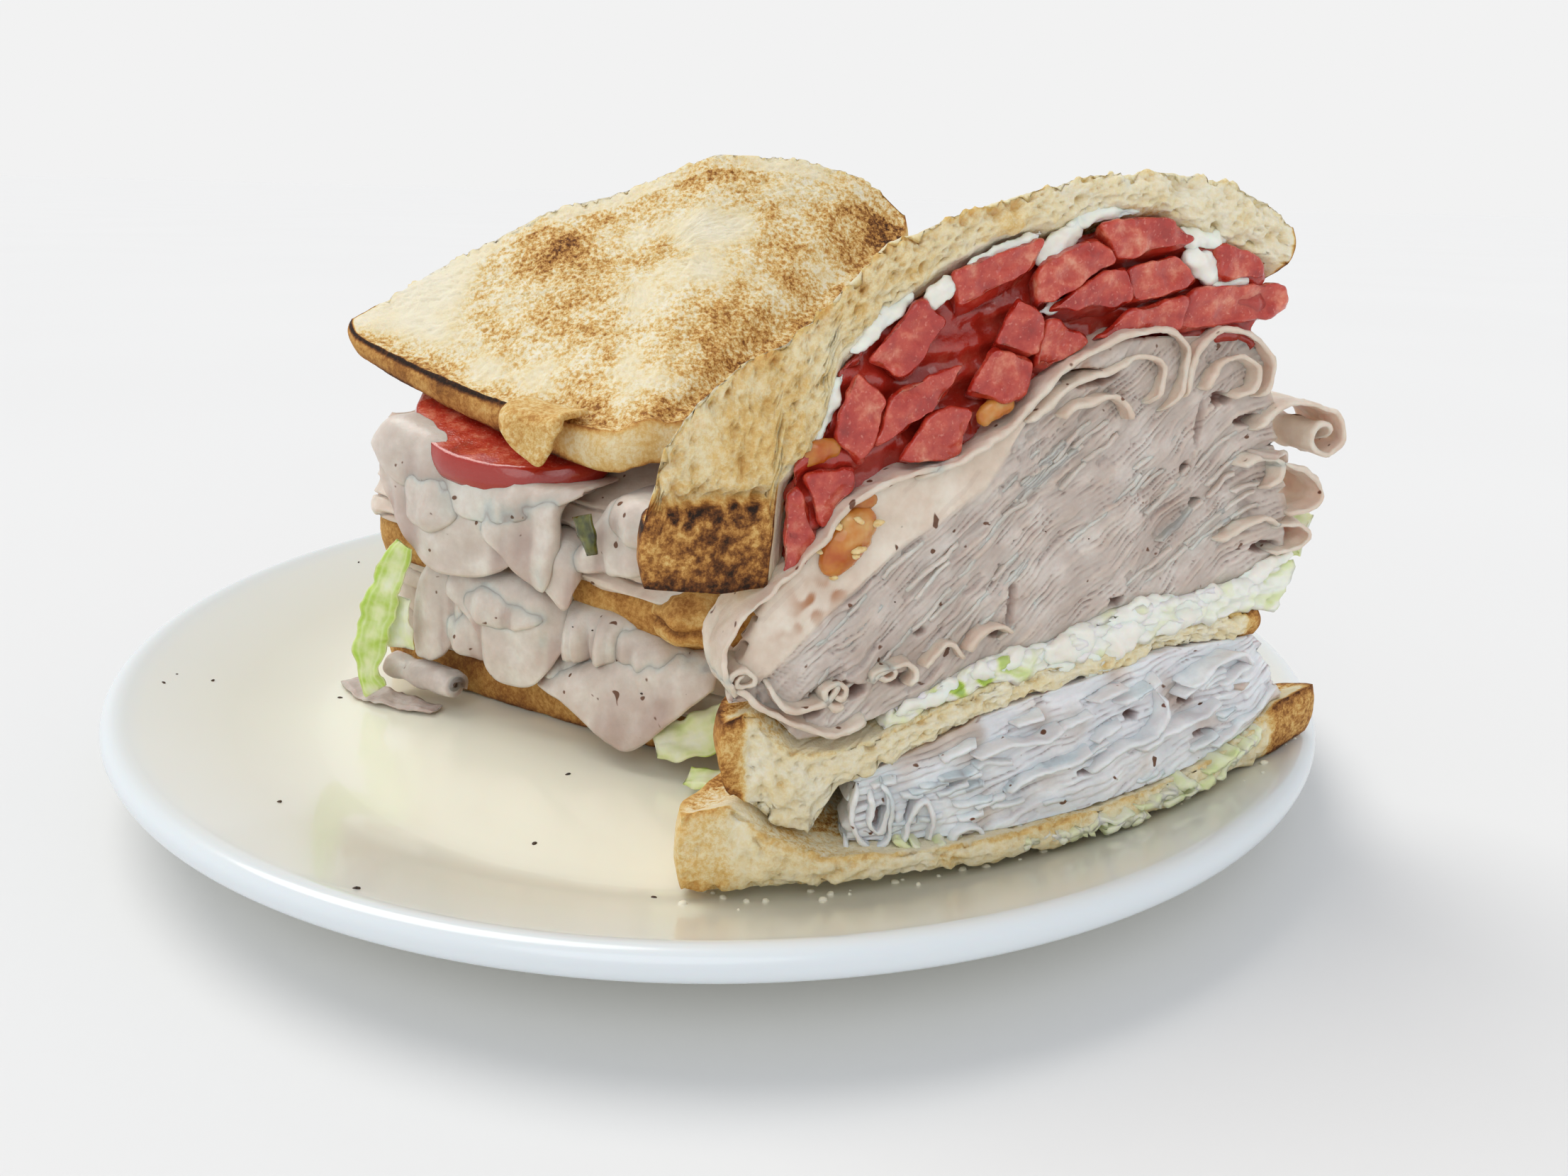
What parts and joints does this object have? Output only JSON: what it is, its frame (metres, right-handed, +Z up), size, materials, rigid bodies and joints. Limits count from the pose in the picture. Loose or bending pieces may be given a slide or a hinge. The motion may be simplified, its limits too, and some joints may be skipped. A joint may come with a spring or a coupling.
{
  "type": "turkey club sandwich on a plate",
  "caption": "Toasted turkey club sandwich with tomato and lettuce, cut corner to corner, both halves leaning together on a round glazed china plate.",
  "frame": {"origin": "middle of the plate's foot, on the table", "axes": "+Z up from the table, +X to the diner's right, -Y towards the diner and the cut face of the front half"},
  "size_m": [0.27, 0.27, 0.1308],
  "materials": {
    "glazed_china": "glossy glaze",
    "toasted_bread": "dry, browned and porous",
    "roast_turkey": "moist, satin",
    "ripe_tomato": "wet",
    "lettuce_leaf": "waxy, crisp",
    "pickled_cucumber": "wet"
  },
  "bodies": {
    "root": {"front_bottom_toast": "toasted_bread", "front_leaf": "lettuce_leaf", "front_lettuce": "lettuce_leaf", "front_lower_turkey": "roast_turkey", "front_middle_toast": "toasted_bread", "front_tomato_1": "ripe_tomato", "front_tomato_10": "ripe_tomato", "front_tomato_11": "ripe_tomato", "front_tomato_12": "ripe_tomato", "front_tomato_13": "ripe_tomato", "front_tomato_14": "ripe_tomato", "front_tomato_15": "ripe_tomato", "front_tomato_16": "ripe_tomato", "front_tomato_17": "ripe_tomato", "front_tomato_2": "ripe_tomato", "front_tomato_3": "ripe_tomato", "front_tomato_4": "ripe_tomato", "front_tomato_5": "ripe_tomato", "front_tomato_6": "ripe_tomato", "front_tomato_7": "ripe_tomato", "front_tomato_8": "ripe_tomato", "front_tomato_9": "ripe_tomato", "front_top_toast": "toasted_bread", "front_upper_turkey": "roast_turkey", "plate": "glazed_china", "plate_leaf_1": "lettuce_leaf", "plate_leaf_2": "lettuce_leaf", "plate_lettuce_back": "lettuce_leaf", "plate_lettuce_strip": "lettuce_leaf", "plate_turkey_roll": "roast_turkey", "plate_turkey_scrap": "roast_turkey", "rear_bottom_toast": "toasted_bread", "rear_lower_turkey": "roast_turkey", "rear_middle_toast": "toasted_bread", "rear_pickle": "pickled_cucumber", "rear_tomato_1": "ripe_tomato", "rear_tomato_2": "ripe_tomato", "rear_tomato_3": "ripe_tomato", "rear_top_toast": "toasted_bread", "rear_upper_turkey": "roast_turkey"}
  },
  "joints": []
}
